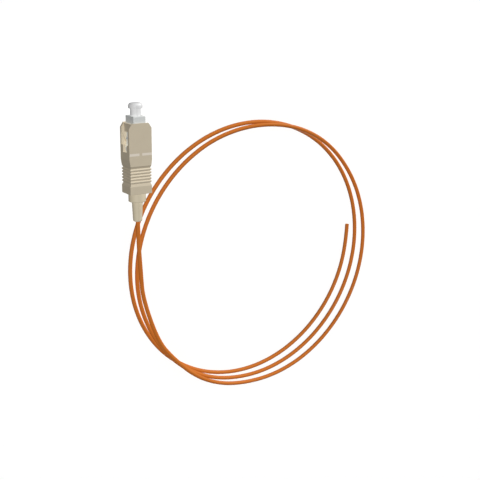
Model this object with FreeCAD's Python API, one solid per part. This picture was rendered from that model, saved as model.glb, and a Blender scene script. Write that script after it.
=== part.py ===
import FreeCAD, Part
import math
import os

from FreeCAD import Vector

# Fibre optic pigtail: a push-pull plug on one end of a cord, lying flat beside the cord's loose turns.
# Millimetres. +Y runs along the plug towards its dust cap, +Z is up from the wide face that it lies on.
# The origin is under the middle of the plug, on the surface that everything rests on.

# Lengths along the plug, from the boot's tip to the cap's top
boot_tail_length = 7.5
boot_collar_length = 3.175
collar_gap = 0.05
grip_length = 25.725
frame_projection = 2.35
cap_neck_exposed = 2.7
cap_knob_thickness = 1.95

# Grip housing
grip_width = 9.0
grip_height = 7.4
grip_corner_radius = 0.12
grip_travel = 1.6
stop_gap = 0.1
front_chamfer_width = 1.2
front_chamfer_length = 1.8
main_taper_length = 2.4
main_taper_width = 0.35
main_end_slope = 0.8
rib_inset_width = 0.25
rib_inset_height = 0.12
rib_grooves = 6
rib_pitch = 1.1
groove_floor = 0.16
groove_slope = 0.35
groove_depth = 0.35
rear_block_length = 2.9
rear_block_slope = 0.95
rear_block_inset = 0.18
rear_edge_chamfer = 0.08
key_width = 3.2
key_height = 0.85
key_length = 13.0
key_setback = 0.8
key_lead_in = 0.6

# Side slots of the grip, with the cam rails and the bridge inside them
slot_width = 5.5
slot_length = 7.9
rear_slot_width = 2.9
rear_slot_length = 2.6
cam_gap = 5.0
cam_height = 1.9
cam_front_setback = 1.0
cam_front_slope = 0.9
cam_crest_length = 1.4
cam_rear_slope = 3.8
bridge_thickness = 0.8
bridge_length = 3.0
bridge_setback = 0.3

# Plug frame
frame_width = 4.85
frame_height = 6.5
frame_length = 14.55
frame_body_width = 6.9
frame_body_length = 3.3
frame_corner_radius = 0.2
frame_front_chamfer = 0.15
chamber_depth = 5.65
chamber_diameter = 3.9
web_thickness = 0.9
latch_width = 2.6
latch_height = 0.9
latch_setback = 6.3
latch_slope_length = 1.6
latch_crest_length = 0.5
anti_turn_key_width = 0.5
anti_turn_key_height = 0.45
anti_turn_key_length = 1.7
window_width = 2.0
window_length = 0.9

# Ferrule, flange and spring
ferrule_diameter = 2.5
ferrule_length = 10.5
ferrule_projection = 1.85
ferrule_tip_diameter = 1.5
ferrule_tip_length = 0.6
ferrule_hole_clearance = 0.1
ferrule_travel = 1.0
flange_diameter = 3.75
flange_floor = 0.7
flange_tail_diameter = 2.3
flange_tail_length = 4.6
spring_wire_diameter = 0.4
spring_outer_diameter = 3.4
spring_turns = 7

# Rear body, crimp ring and fibre
spigot_length = 1.6
spigot_diameter = 4.6
spring_cup_diameter = 3.7
spring_cup_depth = 2.6
rear_collar_diameter = 5.0
rear_collar_length = 1.6
tail_diameter = 3.2
tail_length = 9.2
tail_bore_diameter = 1.5
snap_height = 0.6
snap_clearance = 0.05
crimp_wall = 0.35
crimp_large_length = 7.6
crimp_small_length = 4.4
crimp_overhang = 0.5
buffer_diameter = 0.9
buffer_clearance = 0.05
buffer_overlap = 2.5

# Boot
boot_collar_diameter = 6.4
boot_collar_round = 0.3
boot_neck_diameter = 4.05
boot_tip_diameter = 3.35
boot_tip_round = 0.55
boot_sleeve_wall = 0.5
boot_sleeve_length = 6.4

# Dust cap
cap_knob_diameter = 5.1
cap_knob_round = 1.1
cap_rim_round = 0.2
cap_shoulder_diameter = 3.8
cap_shoulder_length = 2.6
cap_neck_diameter = 3.42
cap_insert_depth = 4.3
cap_tip_gap = 0.4
cap_mouth_chamfer = 0.25

# Cord: the lead from the boot, then loose turns that drift and tighten as they are laid
cord_diameter = 1.6
coil_centre_x = 58.4
coil_centre_y = -45.2
coil_radius = 54.5
coil_tightening = 0.98
coil_drift_x = -3.86
coil_drift_y = 2.19
coil_lean = 0.030
coil_squash = 0.9875
coil_points_per_turn = 24
coil_start_angle = 218.5
coil_sweep = 865.7
hump_crest_angle = 9.0
hump_foot_angle = 36.0
lower_crossing_angle = 226.0
lower_crossing_strands = 3
upper_crossing_angle = 76.0
upper_crossing_strands = 2
cord_crossing_clearance = 0.15
arc_share = 0.45
lead_straight = 6.3
lead_points = [
    (1.3, -47.8, 3.75),
    (4.9, -63.6, 3.9),
]

# Clearances shared by the pieces that fit each other, and the distance below which two places count as one
running_clearance = 0.05
sleeve_clearance = 0.1
seat_clearance = 0.03
same_place = 0.000001

# Places along the plug
overall_length = (
    boot_tail_length + boot_collar_length + collar_gap + grip_length
    + frame_projection + cap_neck_exposed + cap_knob_thickness
)
boot_tip_y = -overall_length / 2
collar_rear_y = boot_tip_y + boot_tail_length
collar_front_y = collar_rear_y + boot_collar_length
grip_rear_y = collar_front_y + collar_gap
grip_front_y = grip_rear_y + grip_length
ribs_length = (rib_grooves - 1) * rib_pitch + groove_floor
main_rear_y = grip_rear_y + rear_block_length + rear_block_slope + ribs_length + main_end_slope
frame_front_y = grip_front_y + frame_projection
frame_rear_y = frame_front_y - frame_length
frame_body_front_y = frame_rear_y + frame_body_length
knob_under_y = frame_front_y + cap_neck_exposed
cap_top_y = knob_under_y + cap_knob_thickness
grip_stop_y = frame_rear_y - grip_travel - stop_gap
web_front_y = frame_front_y - chamber_depth
web_rear_y = web_front_y - web_thickness
flange_front_y = web_rear_y - seat_clearance
ferrule_tip_y = frame_front_y + ferrule_projection
ferrule_rear_y = ferrule_tip_y - ferrule_length
flange_rear_y = ferrule_rear_y - flange_floor
spigot_front_y = frame_rear_y + spigot_length
spring_seat_y = spigot_front_y - spring_cup_depth
rear_collar_rear_y = frame_rear_y - rear_collar_length
tail_rear_y = rear_collar_rear_y - tail_length
crimp_step_y = tail_rear_y - crimp_overhang
crimp_front_y = crimp_step_y + crimp_large_length
crimp_rear_y = crimp_step_y - crimp_small_length
cord_end_y = crimp_step_y
buffer_rear_y = cord_end_y - buffer_overlap
cord_bore_end_y = buffer_rear_y - ferrule_travel - buffer_clearance

# Heights and half sizes
axis_height = grip_height / 2 + key_height
cord_radius = cord_diameter / 2
cavity_half_width = frame_body_width / 2 + running_clearance
cavity_half_height = frame_height / 2 + running_clearance
crimp_large_radius = tail_diameter / 2 + seat_clearance + crimp_wall
crimp_small_radius = cord_radius + seat_clearance + crimp_wall
boot_bore_radius = crimp_large_radius + seat_clearance
boot_sleeve_radius = boot_bore_radius + boot_sleeve_wall
grip_bore_radius = max(boot_sleeve_radius, rear_collar_diameter / 2) + sleeve_clearance


def box(x_low, x_high, y_low, y_high, z_low, z_high):
    return Part.makeBox(x_high - x_low, y_high - y_low, z_high - z_low, Vector(x_low, y_low, z_low))


def centred_box(width, height, y_low, y_high):
    half = width / 2
    return box(-half, half, y_low, y_high, axis_height - height / 2, axis_height + height / 2)


def rod(radius, y_low, y_high):
    return Part.makeCylinder(radius, y_high - y_low, Vector(0, y_low, axis_height), Vector(0, 1, 0))


def face_of(points):
    return Part.Face(Part.makePolygon(points + points[:1]))


def turned(outline):
    # A profile of (radius, y) turned about the plug's axis
    face = face_of([Vector(radius, y, axis_height) for radius, y in outline])
    return face.revolve(Vector(0, 0, axis_height), Vector(0, 1, 0), 360)


def plan_slab(outline, z_low, z_high):
    # An outline of (x, y) seen from above, made thick along Z
    return face_of([Vector(x, y, z_low) for x, y in outline]).extrude(Vector(0, 0, z_high - z_low))


def side_slab(outline, x_low, x_high):
    # An outline of (z, y) seen from the side, made thick along X
    return face_of([Vector(x_low, y, z) for z, y in outline]).extrude(Vector(x_high - x_low, 0, 0))


def round_rim(solid, rim_radius, rim_y, fillet_radius):
    # Rounds the circular edge of that radius at that place on the axis
    rims = [
        edge for edge in solid.Edges
        if isinstance(edge.Curve, Part.Circle)
        and abs(edge.Curve.Radius - rim_radius) < same_place
        and abs(edge.Curve.Center.y - rim_y) < same_place
    ]
    return solid.makeFillet(fillet_radius, rims)


def round_long_edges(solid, fillet_radius):
    # Rounds the four edges of a box that run along the plug
    edges = [edge for edge in solid.Edges if edge.BoundBox.YLength > same_place]
    return solid.makeFillet(fillet_radius, edges)


def mirrored(half_outline):
    # Both sides of an outline from the (half width, y) points of one side
    other_side = [(-half, y) for half, y in reversed(half_outline)]
    return half_outline + other_side


def rib_profile(rib_half):
    # The grooves between the rear block and the main part, with a rib between each two
    floor_half = rib_half - groove_depth
    floor_rear_y = grip_rear_y + rear_block_length + rear_block_slope
    outline = []
    for index in range(rib_grooves):
        if index > 0:
            outline.append((rib_half, floor_rear_y - rib_pitch + groove_floor + groove_slope))
            outline.append((rib_half, floor_rear_y - groove_slope))
        outline.append((floor_half, floor_rear_y))
        outline.append((floor_half, floor_rear_y + groove_floor))
        floor_rear_y += rib_pitch
    return outline


def grip_half_outline(main_half, rib_inset):
    # One edge of the grip from its rear face up to the main part: rear block and finger ribs
    block_half = main_half - rear_block_inset
    block = [
        (block_half - rear_edge_chamfer, grip_rear_y),
        (block_half, grip_rear_y + rear_edge_chamfer),
        (block_half, grip_rear_y + rear_block_length),
    ]
    return block + rib_profile(main_half - rib_inset)


def grip_plan():
    # Seen from above, the main part widens from the ribs and has its front corners cut off
    half = grip_width / 2
    return mirrored(grip_half_outline(half, rib_inset_width) + [
        (half - main_taper_width, main_rear_y),
        (half, main_rear_y + main_taper_length),
        (half, grip_front_y - front_chamfer_length),
        (half - front_chamfer_width, grip_front_y),
    ])


def grip_side_view():
    # Seen from the side, the main part is as thick at its rear as at its front
    half = grip_height / 2
    outline = mirrored(grip_half_outline(half, rib_inset_height) + [
        (half, main_rear_y),
        (half, grip_front_y),
    ])
    return [(axis_height + reach, y) for reach, y in outline]


def grip_envelope():
    # The grip's outside is where its plan, its side view and its rounded section agree
    plan_solid = plan_slab(grip_plan(), axis_height - grip_height / 2, axis_height + grip_height / 2)
    side_solid = side_slab(grip_side_view(), -grip_width / 2, grip_width / 2)
    section = round_long_edges(
        centred_box(grip_width, grip_height, grip_rear_y, grip_front_y), grip_corner_radius)
    return plan_solid.common(side_solid).common(section)


def grip_slot(side):
    # A slot in one narrow side, open at the front, with a narrower one behind it
    x_low, x_high = sorted((side * (cavity_half_width - running_clearance), side * grip_width / 2))
    step_y = grip_front_y - slot_length
    front_slot = box(
        x_low, x_high, step_y, grip_front_y,
        axis_height - slot_width / 2, axis_height + slot_width / 2)
    rear_slot = box(
        x_low, x_high, step_y - rear_slot_length, step_y,
        axis_height - rear_slot_width / 2, axis_height + rear_slot_width / 2)
    return front_slot.fuse(rear_slot)


def grip_cams(side):
    # Two rails beside the slot that lift the socket's latch arms, and the bridge between them
    foot = frame_width / 2 + sleeve_clearance
    front_y = grip_front_y - cam_front_setback
    crest_front_y = front_y - cam_front_slope
    crest_rear_y = crest_front_y - cam_crest_length
    outline = [
        (side * foot, front_y),
        (side * (foot + cam_height), crest_front_y),
        (side * (foot + cam_height), crest_rear_y),
        (side * foot, crest_rear_y - cam_rear_slope),
    ]
    lower = plan_slab(outline, axis_height - grip_height / 2, axis_height - cam_gap / 2)
    upper = plan_slab(outline, axis_height + cam_gap / 2, axis_height + grip_height / 2)
    bridge_front_y = grip_front_y - bridge_setback
    bridge_x = sorted((side * foot, side * (foot + bridge_thickness)))
    bridge = box(
        bridge_x[0], bridge_x[1], bridge_front_y - bridge_length, bridge_front_y,
        axis_height - grip_height / 2, axis_height + grip_height / 2)
    return lower.fuse(upper).fuse(bridge)


def grip_key():
    # The ridge on the underside that the plug lies on
    front_y = grip_front_y - key_setback
    top_z = axis_height - grip_height / 2 + seat_clearance
    outline = [
        (0, front_y - key_lead_in),
        (top_z, front_y),
        (top_z, front_y - key_length),
        (0, front_y - key_length),
    ]
    return side_slab(outline, -key_width / 2, key_width / 2)


def make_grip_housing():
    envelope = grip_envelope()
    cavity = centred_box(2 * cavity_half_width, 2 * cavity_half_height, grip_stop_y, grip_front_y)
    shell = envelope.cut(cavity).cut(rod(grip_bore_radius, grip_rear_y, grip_stop_y))
    for side in (-1, 1):
        shell = shell.cut(grip_slot(side))
        shell = shell.fuse(grip_cams(side).common(envelope))
    return shell.fuse(grip_key()).removeSplitter()


def frame_latch(side):
    # A shoulder on one side of the frame for the socket's latch arm: a slope in front, square behind
    base = frame_width / 2 - seat_clearance
    top = frame_width / 2 + latch_height
    front_y = frame_front_y - latch_setback
    outline = [
        (side * base, front_y),
        (side * top, front_y - latch_slope_length),
        (side * top, front_y - latch_slope_length - latch_crest_length),
        (side * base, front_y - latch_slope_length - latch_crest_length),
    ]
    return plan_slab(outline, axis_height - latch_width / 2, axis_height + latch_width / 2)


def snap_span():
    # Where the rear body's snaps sit along the plug, in the middle of the spigot
    middle_y = frame_rear_y + spigot_length / 2
    return middle_y - window_length / 2, middle_y + window_length / 2


def make_plug_frame():
    nose = round_long_edges(
        centred_box(frame_width, frame_height, frame_rear_y, frame_front_y), frame_corner_radius)
    front_edges = [edge for edge in nose.Edges if edge.BoundBox.YMin > frame_front_y - same_place]
    nose = nose.makeChamfer(frame_front_chamfer, front_edges)
    body = round_long_edges(
        centred_box(frame_body_width, frame_height, frame_rear_y, frame_body_front_y), frame_corner_radius)
    frame = nose.fuse(body)
    for side in (-1, 1):
        frame = frame.fuse(frame_latch(side))
    chamber_radius = chamber_diameter / 2
    ferrule_hole = ferrule_diameter / 2 + ferrule_hole_clearance
    frame = frame.cut(rod(chamber_radius, web_front_y, frame_front_y))
    frame = frame.cut(rod(ferrule_hole, web_rear_y, web_front_y))
    frame = frame.cut(rod(chamber_radius, frame_rear_y, web_rear_y))
    frame = frame.cut(rod(spigot_diameter / 2 + running_clearance, frame_rear_y, spigot_front_y))
    window_low, window_high = snap_span()
    frame = frame.cut(box(
        -window_width / 2, window_width / 2, window_low, window_high,
        axis_height - frame_height, axis_height + frame_height))
    for side in (-1, 1):
        frame = frame.fuse(anti_turn_key(side))
    return frame.removeSplitter()


def anti_turn_key(side):
    # A short rib in the frame's bore that keeps the flange from turning
    outer = chamber_diameter / 2 + seat_clearance
    inner = chamber_diameter / 2 - anti_turn_key_height
    z_span = sorted((axis_height + side * inner, axis_height + side * outer))
    half = anti_turn_key_width / 2
    return box(-half, half, web_rear_y - anti_turn_key_length, web_rear_y, z_span[0], z_span[1])


def make_ferrule():
    radius = ferrule_diameter / 2
    tip_radius = ferrule_tip_diameter / 2
    return turned([
        (0, ferrule_rear_y),
        (radius, ferrule_rear_y),
        (radius, ferrule_tip_y - ferrule_tip_length),
        (tip_radius, ferrule_tip_y),
        (0, ferrule_tip_y),
    ])


def make_ferrule_flange():
    flange = rod(flange_diameter / 2, flange_rear_y, flange_front_y)
    flange = flange.fuse(rod(flange_tail_diameter / 2, flange_rear_y - flange_tail_length, flange_rear_y))
    flange = flange.cut(rod(ferrule_diameter / 2, ferrule_rear_y, flange_front_y))
    flange = flange.cut(rod(buffer_diameter / 2, flange_rear_y - flange_tail_length, ferrule_rear_y))
    slot_half = anti_turn_key_width / 2 + running_clearance
    slot_floor = chamber_diameter / 2 - anti_turn_key_height - running_clearance
    for side in (-1, 1):
        z_span = sorted((axis_height + side * slot_floor, axis_height + side * flange_diameter))
        flange = flange.cut(box(
            -slot_half, slot_half, flange_rear_y, flange_front_y, z_span[0], z_span[1]))
    return flange


def make_ferrule_spring():
    # A round wire wound between the flange and the rear body's cup
    wire_radius = spring_wire_diameter / 2
    coil_mean_radius = spring_outer_diameter / 2 - wire_radius
    height = flange_rear_y - spring_seat_y - spring_wire_diameter - 2 * seat_clearance
    helix = Part.makeHelix(height / spring_turns, height, coil_mean_radius)
    section = Part.Wire(Part.makeCircle(wire_radius, Vector(coil_mean_radius, 0, 0), Vector(0, 1, 0)))
    spring = helix.makePipeShell([section], True, True)
    spring.rotate(Vector(0, 0, 0), Vector(1, 0, 0), -90)
    spring.translate(Vector(0, spring_seat_y + wire_radius + seat_clearance, axis_height))
    return spring


def make_rear_body():
    # A cup for the spring, a collar against the frame's end and a long tail for the crimp
    body = rod(spigot_diameter / 2, frame_rear_y, spigot_front_y)
    body = body.fuse(rod(rear_collar_diameter / 2, rear_collar_rear_y, frame_rear_y))
    body = body.fuse(rod(tail_diameter / 2, tail_rear_y, rear_collar_rear_y))
    window_low, window_high = snap_span()
    snap_half = window_width / 2 - snap_clearance
    snap_reach = spigot_diameter / 2 + snap_height
    body = body.fuse(box(
        -snap_half, snap_half, window_low + snap_clearance, window_high - snap_clearance,
        axis_height - snap_reach, axis_height + snap_reach))
    body = body.cut(rod(spring_cup_diameter / 2, spring_seat_y, spigot_front_y))
    body = body.cut(rod(tail_bore_diameter / 2, tail_rear_y, spring_seat_y))
    return body.removeSplitter()


def make_crimp_ring():
    return turned([
        (cord_radius + seat_clearance, crimp_rear_y),
        (crimp_small_radius, crimp_rear_y),
        (crimp_small_radius, crimp_step_y - crimp_wall),
        (crimp_large_radius, crimp_step_y),
        (crimp_large_radius, crimp_front_y),
        (crimp_large_radius - crimp_wall, crimp_front_y),
        (crimp_large_radius - crimp_wall, crimp_step_y),
        (cord_radius + seat_clearance, crimp_step_y),
    ])


def make_buffered_fibre():
    return rod(buffer_diameter / 2, buffer_rear_y, ferrule_rear_y)


def make_boot():
    # A sleeve inside the grip, a collar behind it and a tapered tail with a rounded tip
    collar_radius = boot_collar_diameter / 2
    neck_radius = boot_neck_diameter / 2
    tip_radius = boot_tip_diameter / 2
    sleeve_front_y = collar_front_y + boot_sleeve_length
    small_bore = crimp_small_radius + seat_clearance
    boot = turned([
        (0, boot_tip_y),
        (tip_radius, boot_tip_y),
        (neck_radius, collar_rear_y),
        (collar_radius, collar_rear_y),
        (collar_radius, collar_front_y),
        (boot_sleeve_radius, collar_front_y),
        (boot_sleeve_radius, sleeve_front_y),
        (0, sleeve_front_y),
    ])
    boot = round_rim(boot, collar_radius, collar_rear_y, boot_collar_round)
    boot = round_rim(boot, tip_radius, boot_tip_y, boot_tip_round)
    boot = boot.cut(rod(cord_radius + seat_clearance, boot_tip_y, crimp_rear_y))
    boot = boot.cut(rod(small_bore, crimp_rear_y - seat_clearance, crimp_step_y))
    return boot.cut(rod(boot_bore_radius, crimp_step_y - crimp_wall, sleeve_front_y))


def make_dust_cap():
    # A knob on a hollow neck that slips over the ferrule
    knob_radius = cap_knob_diameter / 2
    shoulder_radius = cap_shoulder_diameter / 2
    neck_radius = cap_neck_diameter / 2
    bore_radius = ferrule_diameter / 2 + running_clearance
    mouth_y = frame_front_y - cap_insert_depth
    shoulder_y = knob_under_y - cap_shoulder_length
    cap = turned([
        (bore_radius, mouth_y),
        (neck_radius - cap_mouth_chamfer, mouth_y),
        (neck_radius, mouth_y + cap_mouth_chamfer),
        (neck_radius, shoulder_y),
        (shoulder_radius, shoulder_y),
        (shoulder_radius, knob_under_y),
        (knob_radius, knob_under_y),
        (knob_radius, cap_top_y),
        (0, cap_top_y),
        (0, ferrule_tip_y + cap_tip_gap),
        (bore_radius, ferrule_tip_y + cap_tip_gap),
    ])
    cap = round_rim(cap, knob_radius, cap_top_y, cap_knob_round)
    return round_rim(cap, knob_radius, knob_under_y, cap_rim_round)


def hump(angle, crossing_angle):
    # How far up a hump the cord is, from 0 at its foot to 1 on its crest
    away = abs((angle - crossing_angle + 180) % 360 - 180)
    return min(1, max(0, (hump_foot_angle - away) / (hump_foot_angle - hump_crest_angle)))


def coil_angles():
    # Even steps from the lead to the cut end, which takes what is left of a step
    step = 360 / coil_points_per_turn
    whole_steps = int(coil_sweep // step)
    angles = [coil_start_angle + index * step for index in range(whole_steps + 1)]
    return angles + [coil_start_angle + coil_sweep]


def coil_point(angle):
    # The later turns lie under the earlier ones where they cross
    turns = (angle - 180) / 360
    outside = 1 / math.cos(math.pi / coil_points_per_turn)
    radius = (coil_radius - turns * coil_tightening) * outside
    across = radius * math.cos(math.radians(angle))
    along = radius * math.sin(math.radians(angle))
    step = cord_diameter + cord_crossing_clearance
    lower_turn = round((angle - lower_crossing_angle) / 360)
    strands_under_lower = max(0, lower_crossing_strands - 1 - lower_turn)
    strands_under_upper = max(0, upper_crossing_strands - 1 - int(turns))
    lift = step * max(
        strands_under_lower * hump(angle, lower_crossing_angle),
        strands_under_upper * hump(angle, upper_crossing_angle))
    return Vector(
        coil_centre_x + turns * coil_drift_x + across + coil_lean * along,
        coil_centre_y + turns * coil_drift_y + coil_squash * along,
        cord_radius + lift)


def cord_route():
    start = [Vector(0, cord_end_y, axis_height), Vector(0, boot_tip_y - lead_straight, axis_height)]
    lead = [Vector(x, y, z) for x, y, z in lead_points]
    return start + lead + [coil_point(angle) for angle in coil_angles()]


def cord_path(route):
    # Straight runs joined by tangent arcs, each arc taking the same share of its shorter run
    edges = []
    reached = route[0]
    for before, corner, after in zip(route, route[1:], route[2:]):
        run_in = corner - before
        run_out = after - corner
        half_turn = run_in.getAngle(run_out) / 2
        reach = arc_share * min(run_in.Length, run_out.Length)
        radius = reach / math.tan(half_turn)
        way_in = Vector(run_in).normalize()
        way_out = Vector(run_out).normalize()
        arc_start = corner - way_in * reach
        arc_end = corner + way_out * reach
        inward = Vector(way_out - way_in).normalize()
        arc_middle = corner + inward * (radius / math.cos(half_turn) - radius)
        edges.append(Part.LineSegment(reached, arc_start).toShape())
        edges.append(Part.Arc(arc_start, arc_middle, arc_end).toShape())
        reached = arc_end
    edges.append(Part.LineSegment(reached, route[-1]).toShape())
    return Part.Wire(edges)


def make_cord():
    path = cord_path(cord_route())
    section = Part.Wire(Part.makeCircle(cord_radius, Vector(0, cord_end_y, axis_height), Vector(0, 1, 0)))
    tube = path.makePipeShell([section], True, False)
    print("cord length", round(path.Length, 1))
    return tube.cut(rod(buffer_diameter / 2 + buffer_clearance, cord_bore_end_y, cord_end_y))


def main():
    os.makedirs("parts", exist_ok=True)
    pieces = {
        "grip_housing": make_grip_housing,
        "plug_frame": make_plug_frame,
        "ferrule": make_ferrule,
        "ferrule_flange": make_ferrule_flange,
        "ferrule_spring": make_ferrule_spring,
        "rear_body": make_rear_body,
        "crimp_ring": make_crimp_ring,
        "buffered_fibre": make_buffered_fibre,
        "boot": make_boot,
        "dust_cap": make_dust_cap,
        "cord": make_cord,
    }
    for name, make in pieces.items():
        shape = make()
        print(name, shape.ShapeType, len(shape.Solids), shape.isValid(), round(shape.Volume, 2))
        shape.exportStep(f"parts/{name}.step")


main()
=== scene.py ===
import math

import bmesh
import bpy
from mathutils import Matrix, Vector


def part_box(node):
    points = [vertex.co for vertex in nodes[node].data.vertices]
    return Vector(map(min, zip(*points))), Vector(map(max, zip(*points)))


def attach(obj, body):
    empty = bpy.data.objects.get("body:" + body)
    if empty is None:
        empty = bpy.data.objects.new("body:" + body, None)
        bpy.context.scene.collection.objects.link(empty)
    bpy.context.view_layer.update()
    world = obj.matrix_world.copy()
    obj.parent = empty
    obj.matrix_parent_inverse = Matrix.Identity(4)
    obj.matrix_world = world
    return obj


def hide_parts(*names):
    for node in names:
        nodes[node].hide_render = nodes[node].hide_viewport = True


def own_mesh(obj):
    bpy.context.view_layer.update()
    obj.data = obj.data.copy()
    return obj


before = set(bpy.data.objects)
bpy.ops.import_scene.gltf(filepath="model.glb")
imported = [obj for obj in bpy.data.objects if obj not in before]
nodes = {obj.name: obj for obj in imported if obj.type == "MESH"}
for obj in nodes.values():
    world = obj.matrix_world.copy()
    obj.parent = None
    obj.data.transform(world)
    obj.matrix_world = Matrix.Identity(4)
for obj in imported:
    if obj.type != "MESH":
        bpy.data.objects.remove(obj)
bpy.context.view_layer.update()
mm = 0.001
fullTurn = 360
print("frame loaded,", len(nodes), "nodes")


# camera at the photograph's angle, fitted to the plug and the turns of the cord
viewpoint = {
    "lens": 71.465,
    "sensor": 36.0,
    "place": (-150.55, 61.81, 312.22),
    "right": (0.8453, 0.0061, 0.5342),
    "up": (0.1322, 0.9664, -0.2203),
    "nearest": 10,
    "farthest": 20000,
}


def makeCamera():
    data = bpy.data.cameras.new("studioCamera")
    data.lens = viewpoint["lens"]
    data.sensor_width = viewpoint["sensor"]
    data.clip_start = viewpoint["nearest"] * mm
    data.clip_end = viewpoint["farthest"] * mm
    right = Vector(viewpoint["right"]).normalized()
    back = right.cross(Vector(viewpoint["up"])).normalized()
    up = back.cross(right)
    turn = Matrix((right, up, back)).transposed().to_4x4()
    camera = bpy.data.objects.new("studioCamera", data)
    camera.matrix_world = Matrix.Translation(Vector(viewpoint["place"]) * mm) @ turn
    bpy.context.scene.collection.objects.link(camera)
    bpy.context.scene.camera = camera


makeCamera()
print("camera placed")


# node helpers
def newMaterial(name):
    material = bpy.data.materials.new(name)
    material.use_nodes = True
    tree = material.node_tree
    shader = tree.nodes["Principled BSDF"]
    return material, tree, shader


def addNode(tree, kind, x, y, **settings):
    node = tree.nodes.new(kind)
    node.location = (x, y)
    for name, value in settings.items():
        setattr(node, name, value)
    return node


def join(tree, source, target):
    tree.links.new(source, target)


# sockets that every shared effect has, beside those of its own
lookSockets = (
    ("Light Tone", "Color"), ("Deep Tone", "Color"), ("Rough Low", "Float"), ("Rough High", "Float"))
givenSockets = (("Color", "Color"), ("Roughness", "Float"), ("Height", "Float"))


def newEffect(name, ownSockets):
    group = bpy.data.node_groups.new(name, "ShaderNodeTree")
    for socket, kind in (("Place", "Vector"), *ownSockets, *lookSockets):
        group.interface.new_socket(socket, in_out="INPUT", socket_type="NodeSocket" + kind)
    for socket, kind in givenSockets:
        group.interface.new_socket(socket, in_out="OUTPUT", socket_type="NodeSocket" + kind)
    taken = addNode(group, "NodeGroupInput", -700, 0)
    return group, taken


def finishEffect(group, taken, toneMask, reliefMask):
    # the masks lead from the deep tone to the light one, and from low to high roughness
    tone = addNode(group, "ShaderNodeMix", 0, 200, data_type="RGBA")
    rough = addNode(group, "ShaderNodeMapRange", 0, -150)
    given = addNode(group, "NodeGroupOutput", 500, 0)
    join(group, toneMask, tone.inputs["Factor"])
    join(group, taken.outputs["Deep Tone"], tone.inputs["A"])
    join(group, taken.outputs["Light Tone"], tone.inputs["B"])
    join(group, reliefMask, rough.inputs["Value"])
    join(group, taken.outputs["Rough Low"], rough.inputs["To Min"])
    join(group, taken.outputs["Rough High"], rough.inputs["To Max"])
    join(group, tone.outputs["Result"], given.inputs["Color"])
    join(group, rough.outputs["Result"], given.inputs["Roughness"])
    join(group, reliefMask, given.inputs["Height"])
    return group


# shared effect: the fine grain and the faint cloudiness of moulded plastic
noiseDetail = {"cloud": 3, "grain": 2}


def makeMouldGrain():
    group, taken = newEffect("mouldGrain", (("Grain Scale", "Float"), ("Cloud Scale", "Float")))
    cloud = addNode(group, "ShaderNodeTexNoise", -400, 200)
    cloud.inputs["Detail"].default_value = noiseDetail["cloud"]
    grain = addNode(group, "ShaderNodeTexNoise", -400, -150)
    grain.inputs["Detail"].default_value = noiseDetail["grain"]
    join(group, taken.outputs["Place"], cloud.inputs["Vector"])
    join(group, taken.outputs["Place"], grain.inputs["Vector"])
    join(group, taken.outputs["Cloud Scale"], cloud.inputs["Scale"])
    join(group, taken.outputs["Grain Scale"], grain.inputs["Scale"])
    return finishEffect(group, taken, cloud.outputs["Fac"], grain.outputs["Fac"])


# shared effect: the rings that turning or grinding leaves round a piece that runs along Y
ringWave = {"distortion": 1.5, "detail": 3}


def makeTurnedMarks():
    group, taken = newEffect("turnedMarks", (("Ring Scale", "Float"),))
    rings = addNode(group, "ShaderNodeTexWave", -400, 0, wave_type="BANDS", bands_direction="Y")
    rings.inputs["Distortion"].default_value = ringWave["distortion"]
    rings.inputs["Detail"].default_value = ringWave["detail"]
    join(group, taken.outputs["Place"], rings.inputs["Vector"])
    join(group, taken.outputs["Ring Scale"], rings.inputs["Scale"])
    return finishEffect(group, taken, rings.outputs["Fac"], rings.outputs["Fac"])


mouldGrain = makeMouldGrain()
turnedMarks = makeTurnedMarks()


def surfaced(name, effect, look):
    # a material whose tone, roughness and relief come from one shared effect
    material, tree, shader = newMaterial(name)
    place = addNode(tree, "ShaderNodeTexCoord", -900, 0)
    marks = addNode(tree, "ShaderNodeGroup", -600, 0, node_tree=effect, name="marks")
    for socket, value in look["marks"].items():
        marks.inputs[socket].default_value = value
    marks.inputs["Light Tone"].default_value = (*look["lightTone"], 1)
    marks.inputs["Deep Tone"].default_value = (*look["deepTone"], 1)
    marks.inputs["Rough Low"].default_value, marks.inputs["Rough High"].default_value = look["rough"]
    relief = addNode(tree, "ShaderNodeBump", -250, -250)
    relief.inputs["Strength"].default_value = look["relief"]
    relief.inputs["Distance"].default_value = look["reliefDepth"] * mm
    shader.inputs["Metallic"].default_value = look["metal"]
    shader.inputs["Specular IOR Level"].default_value = look["shine"]
    join(tree, place.outputs["Object"], marks.inputs["Place"])
    join(tree, marks.outputs["Color"], shader.inputs["Base Color"])
    join(tree, marks.outputs["Roughness"], shader.inputs["Roughness"])
    join(tree, marks.outputs["Height"], relief.inputs["Height"])
    join(tree, relief.outputs["Normal"], shader.inputs["Normal"])
    return material


def dress(node, material):
    nodes[node].data.materials.clear()
    nodes[node].data.materials.append(material)


# the cord, by its solid's route, moved a little to follow the photograph
cordRun = {
    "diameter": 1.6,
    "axisHeight": 4.55,
    "startY": -12.5,
    "bootTipY": -21.725,
    "leadStraight": 6.3,
    "lead": [(1.15, -42.0, 3.9), (1.8, -52.2, 3.8), (7.83, -70.45, 3.95)],
    "centre": (58.38, -45.20),
    "radius": 54.46,
    "tightening": 0.944,  # for each turn, and so is the drift
    "drift": (-3.784, 2.154),
    "lean": 0.0298,
    "squash": 0.9878,
    "pointsPerTurn": 24,
    "countedFrom": 180,  # the angle that turns are counted from
    "startAngle": 218.5,
    "sweep": 865.1,
    "humpCrest": 9.0,
    "humpFoot": 36.0,
    "lowerCrossing": 226.0,
    "lowerStrands": 3,
    "upperCrossing": 76.0,
    "upperStrands": 2,
    "crossingClearance": 0.15,
    "length": 0.868,  # end to end, in metres
    "splineOrder": 3,
    "stepsPerPoint": 10,
    "bevelSteps": 8,
}
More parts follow.
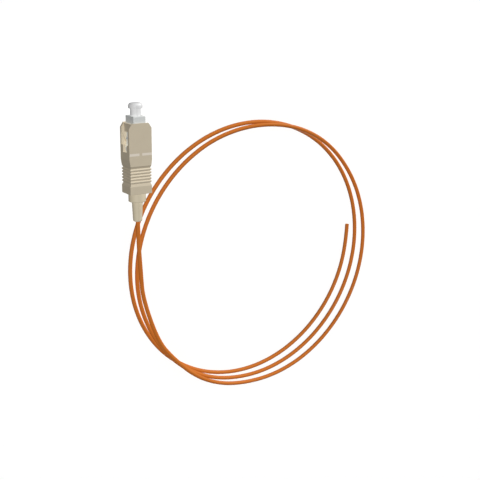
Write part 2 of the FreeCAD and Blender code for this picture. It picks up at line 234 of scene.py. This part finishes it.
jacketLook = {
    "marks": {"Grain Scale": 5000, "Cloud Scale": 120},
    "lightTone": (0.495, 0.145, 0.025), "deepTone": (0.450, 0.1275, 0.019),
    "rough": (0.40, 0.52), "relief": 0.15, "reliefDepth": 0.02, "metal": 0, "shine": 0.05,
}


def humpHeight(angle, crossing):
    halfTurn = fullTurn / 2
    away = abs((angle - crossing + halfTurn) % fullTurn - halfTurn)
    foot, crest = cordRun["humpFoot"], cordRun["humpCrest"]
    return min(1, max(0, (foot - away) / (foot - crest)))


def turnPoint(angle):
    turns = (angle - cordRun["countedFrom"]) / fullTurn
    inset = math.cos(math.pi / cordRun["pointsPerTurn"])  # the line runs inside its points
    radius = (cordRun["radius"] - turns * cordRun["tightening"]) / inset
    across = radius * math.cos(math.radians(angle))
    along = radius * math.sin(math.radians(angle))
    # later turns lie under earlier ones where they cross
    lowerPass = round((angle - cordRun["lowerCrossing"]) / fullTurn)
    underLower = max(0, cordRun["lowerStrands"] - 1 - lowerPass)
    underUpper = max(0, cordRun["upperStrands"] - 1 - int(turns))
    lift = (cordRun["diameter"] + cordRun["crossingClearance"]) * max(
        underLower * humpHeight(angle, cordRun["lowerCrossing"]),
        underUpper * humpHeight(angle, cordRun["upperCrossing"]))
    return (
        cordRun["centre"][0] + turns * cordRun["drift"][0] + across + cordRun["lean"] * along,
        cordRun["centre"][1] + turns * cordRun["drift"][1] + cordRun["squash"] * along,
        cordRun["diameter"] / 2 + lift,
    )


def cordPoints():
    step = fullTurn / cordRun["pointsPerTurn"]
    steps = int(cordRun["sweep"] // step)
    angles = [cordRun["startAngle"] + index * step for index in range(steps + 1)]
    angles.append(cordRun["startAngle"] + cordRun["sweep"])
    height = cordRun["axisHeight"]
    straightEndY = cordRun["bootTipY"] - cordRun["leadStraight"]
    straight = [(0, cordRun["startY"], height), (0, straightEndY, height)]
    return straight + cordRun["lead"] + [turnPoint(angle) for angle in angles]


def makeCord(material):
    points = cordPoints()
    curve = bpy.data.curves.new("cordJacket", "CURVE")
    curve.dimensions = "3D"
    spline = curve.splines.new("NURBS")
    spline.points.add(len(points) - 1)
    for target, point in zip(spline.points, points):
        target.co = (point[0] * mm, point[1] * mm, point[2] * mm, 1)
    spline.order_u = cordRun["splineOrder"]
    spline.use_endpoint_u = True
    spline.resolution_u = cordRun["stepsPerPoint"]
    curve.bevel_depth = cordRun["diameter"] / 2 * mm
    curve.bevel_resolution = cordRun["bevelSteps"]
    curve.use_fill_caps = True
    curve.materials.append(material)
    cord = bpy.data.objects.new("cordJacket", curve)
    bpy.context.scene.collection.objects.link(cord)
    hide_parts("cord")
    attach(cord, "plug")


makeCord(surfaced("orangeJacket", mouldGrain, jacketLook))
print("cord laid")


# moulded pieces
gripLook = {
    "marks": {"Grain Scale": 6500, "Cloud Scale": 300},
    "lightTone": (0.501, 0.438, 0.329), "deepTone": (0.463, 0.402, 0.302),
    "rough": (0.45, 0.58), "relief": 0.2, "reliefDepth": 0.02, "metal": 0, "shine": 0.3,
}
bootLook = dict(gripLook, lightTone=(0.576, 0.508, 0.373), deepTone=(0.540, 0.473, 0.347))
frameLook = dict(gripLook, lightTone=(0.564, 0.578, 0.569), deepTone=(0.526, 0.540, 0.531))
capLook = dict(
    gripLook, lightTone=(0.657, 0.657, 0.657), deepTone=(0.630, 0.630, 0.630),
    rough=(0.32, 0.42), shine=0.25)
bufferLook = dict(gripLook, lightTone=(0.74, 0.74, 0.72), deepTone=(0.70, 0.70, 0.68))
bandLook = {
    "tone": (0.70, 0.645, 0.575),
    "cover": 0.62,
    "middleY": 3.55, "halfHeight": 0.45,
    "middleX": 2.47, "halfWidth": 1.93,
    "faceHeight": 8.2,
}


def within(tree, source, middle, half, x, y):
    # 1 where the source is no further than half from the middle, and 0 elsewhere
    test = addNode(tree, "ShaderNodeMath", x, y, operation="COMPARE")
    test.inputs[1].default_value = middle * mm
    test.inputs[2].default_value = half * mm
    join(tree, source, test.inputs[0])
    return test.outputs["Value"]


def times(tree, first, second, x, y):
    product = addNode(tree, "ShaderNodeMath", x, y, operation="MULTIPLY")
    join(tree, first, product.inputs[0])
    join(tree, second, product.inputs[1])
    return product.outputs["Value"]


def printBand(material):
    # a plain pale band pad-printed across the wide face, open in the middle
    tree = material.node_tree
    marks = tree.nodes["marks"]
    place = addNode(tree, "ShaderNodeTexCoord", -1500, 600)
    parts = addNode(tree, "ShaderNodeSeparateXYZ", -1300, 600)
    aside = addNode(tree, "ShaderNodeMath", -1100, 700, operation="ABSOLUTE")
    onFace = addNode(tree, "ShaderNodeMath", -900, 400, operation="GREATER_THAN")
    onFace.inputs[1].default_value = bandLook["faceHeight"] * mm
    cover = addNode(tree, "ShaderNodeMath", -300, 600, operation="MULTIPLY")
    cover.inputs[1].default_value = bandLook["cover"]
    ink = addNode(tree, "ShaderNodeMix", -100, 400, data_type="RGBA")
    ink.inputs["B"].default_value = (*bandLook["tone"], 1)
    join(tree, place.outputs["Object"], parts.inputs["Vector"])
    join(tree, parts.outputs["X"], aside.inputs[0])
    join(tree, parts.outputs["Z"], onFace.inputs[0])
    inWidth = within(tree, aside.outputs["Value"], bandLook["middleX"], bandLook["halfWidth"], -900, 700)
    inHeight = within(tree, parts.outputs["Y"], bandLook["middleY"], bandLook["halfHeight"], -900, 550)
    both = times(tree, inWidth, inHeight, -700, 650)
    join(tree, times(tree, both, onFace.outputs["Value"], -500, 600), cover.inputs[0])
    join(tree, cover.outputs["Value"], ink.inputs["Factor"])
    join(tree, marks.outputs["Color"], ink.inputs["A"])
    join(tree, ink.outputs["Result"], tree.nodes["Principled BSDF"].inputs["Base Color"])
    return material


dress("grip_housing", printBand(surfaced("beigeGrip", mouldGrain, gripLook)))
dress("boot", surfaced("beigeBoot", mouldGrain, bootLook))
dress("plug_frame", surfaced("greyFrame", mouldGrain, frameLook))
dress("dust_cap", surfaced("paleCap", mouldGrain, capLook))
dress("buffered_fibre", surfaced("whiteBuffer", mouldGrain, bufferLook))
print("plastics dressed")


# turned metal and ceramic pieces inside the plug
platedLook = {
    "marks": {"Ring Scale": 4000},
    "lightTone": (0.62, 0.60, 0.55), "deepTone": (0.52, 0.50, 0.45),
    "rough": (0.18, 0.32), "relief": 0.15, "reliefDepth": 0.01, "metal": 1, "shine": 0.5,
}
crimpLook = dict(
    platedLook, lightTone=(0.72, 0.72, 0.72), deepTone=(0.62, 0.62, 0.62), rough=(0.3, 0.45))
steelLook = dict(
    platedLook, lightTone=(0.55, 0.56, 0.57), deepTone=(0.46, 0.47, 0.48), rough=(0.2, 0.3))
ceramicLook = dict(
    platedLook, lightTone=(0.86, 0.85, 0.81), deepTone=(0.82, 0.81, 0.77), rough=(0.1, 0.16), metal=0)
plated = surfaced("platedMetal", turnedMarks, platedLook)
dress("ferrule_flange", plated)
dress("rear_body", plated)
dress("crimp_ring", surfaced("crimpMetal", turnedMarks, crimpLook))
dress("ferrule", surfaced("whiteCeramic", turnedMarks, ceramicLook))
print("metals dressed")


# the ferrule's spring, wound with a closed turn at each end
springRun = {
    "wireDiameter": 0.4,
    "wireSides": 10,
    "seatY": 1.525,
    "activeTurns": 5,
    "closedTurns": 1,
    "closedPitch": 0.42,
    "stepsPerTurn": 28,
}


def makeSpring(material):
    low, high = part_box("ferrule_spring")
    middle = (low + high) / 2
    wireRadius = springRun["wireDiameter"] / 2 * mm
    coilRadius = (high.x - low.x) / 2 - wireRadius
    closedRise = springRun["closedPitch"] * mm * springRun["closedTurns"]
    activeRise = high.y - low.y - 2 * wireRadius - 2 * closedRise
    stretches = [
        (springRun["closedTurns"], closedRise),
        (springRun["activeTurns"], activeRise),
        (springRun["closedTurns"], closedRise),
    ]
    wire = bmesh.new()
    start = Vector((middle.x + coilRadius, low.y + wireRadius, middle.z))
    ring = bmesh.ops.create_circle(
        wire, segments=springRun["wireSides"], radius=wireRadius, matrix=Matrix.Translation(start))
    leading = wire.edges[:] + ring["verts"]
    for turns, rise in stretches:
        steps = turns * springRun["stepsPerTurn"]
        wound = bmesh.ops.spin(
            wire, geom=leading, cent=middle, axis=(0, 1, 0), dvec=(0, rise / steps, 0),
            angle=2 * math.pi * turns, steps=steps)
        leading = wound["geom_last"]
    bmesh.ops.holes_fill(wire, edges=[edge for edge in wire.edges if edge.is_boundary])
    bmesh.ops.recalc_face_normals(wire, faces=wire.faces)
    for face in wire.faces:
        face.smooth = True
    mesh = bpy.data.meshes.new("ferruleSpring")
    wire.to_mesh(mesh)
    wire.free()
    mesh.materials.append(material)
    spring = bpy.data.objects.new("ferruleSpring", mesh)
    bpy.context.scene.collection.objects.link(spring)
    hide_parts("ferrule_spring")
    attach(spring, "plug")
    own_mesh(spring)


makeSpring(surfaced("springSteel", turnedMarks, steelLook))
print("spring wound")


# studio: a pale floor, dim air and broad lamps without shadows, set by the photograph's tones
studio = {
    "floorSize": 4.0,  # in metres
    "floorTone": (0.90, 0.90, 0.90),
    "floorRough": 0.9,
    "floorGlow": 0.103,
    "airTone": (1.0, 1.0, 1.0),
    "airStrength": 0.085,
    "backdropStrength": 1.2,
    "lampSpread": 25,
    "lamps": {
        "farRight": {"towards": (0.78, 0.61, 0.16), "strength": 3.85},
        "overCamera": {"towards": (-0.52, 0.2, 0.83), "strength": 2.78},
        "floorBounce": {"towards": (0.33, -0.70, -0.63), "strength": 1.0},
    },
}


def makeAir():
    # a white backdrop past the floor's edge, and dim light from all round
    world = bpy.data.worlds.new("studioAir")
    world.use_nodes = True
    tree = world.node_tree
    air = tree.nodes["Background"]
    air.inputs["Color"].default_value = (*studio["airTone"], 1)
    air.inputs["Strength"].default_value = studio["airStrength"]
    backdrop = addNode(tree, "ShaderNodeBackground", -200, -150)
    backdrop.inputs["Color"].default_value = (*studio["airTone"], 1)
    backdrop.inputs["Strength"].default_value = studio["backdropStrength"]
    seen = addNode(tree, "ShaderNodeLightPath", -200, 350)
    either = addNode(tree, "ShaderNodeMixShader", 100, 100)
    join(tree, seen.outputs["Is Camera Ray"], either.inputs["Fac"])
    join(tree, air.outputs["Background"], either.inputs[1])
    join(tree, backdrop.outputs["Background"], either.inputs[2])
    join(tree, either.outputs["Shader"], tree.nodes["World Output"].inputs["Surface"])
    bpy.context.scene.world = world


def makeFloor():
    sheet = bmesh.new()
    bmesh.ops.create_grid(sheet, x_segments=1, y_segments=1, size=studio["floorSize"] / 2)
    mesh = bpy.data.meshes.new("studioFloor")
    sheet.to_mesh(mesh)
    sheet.free()
    floor = bpy.data.objects.new("studioFloor", mesh)
    bpy.context.scene.collection.objects.link(floor)
    material, _, shader = newMaterial("paleFloor")
    shader.inputs["Base Color"].default_value = (*studio["floorTone"], 1)
    shader.inputs["Roughness"].default_value = studio["floorRough"]
    shader.inputs["Emission Color"].default_value = (*studio["floorTone"], 1)
    shader.inputs["Emission Strength"].default_value = studio["floorGlow"]
    mesh.materials.append(material)
    floor.visible_diffuse = False  # the bounce lamp stands for the light that it throws back
    floor.visible_glossy = False


def makeLamps():
    for name, setting in studio["lamps"].items():
        data = bpy.data.lights.new(name, "SUN")
        data.energy = setting["strength"]
        data.angle = math.radians(studio["lampSpread"])
        data.use_shadow = False
        lamp = bpy.data.objects.new(name, data)
        lamp.matrix_world = Vector(setting["towards"]).to_track_quat("Z", "Y").to_matrix().to_4x4()
        bpy.context.scene.collection.objects.link(lamp)


bpy.context.scene.view_settings.view_transform = "Standard"
makeAir()
makeFloor()
makeLamps()
print("studio lit")
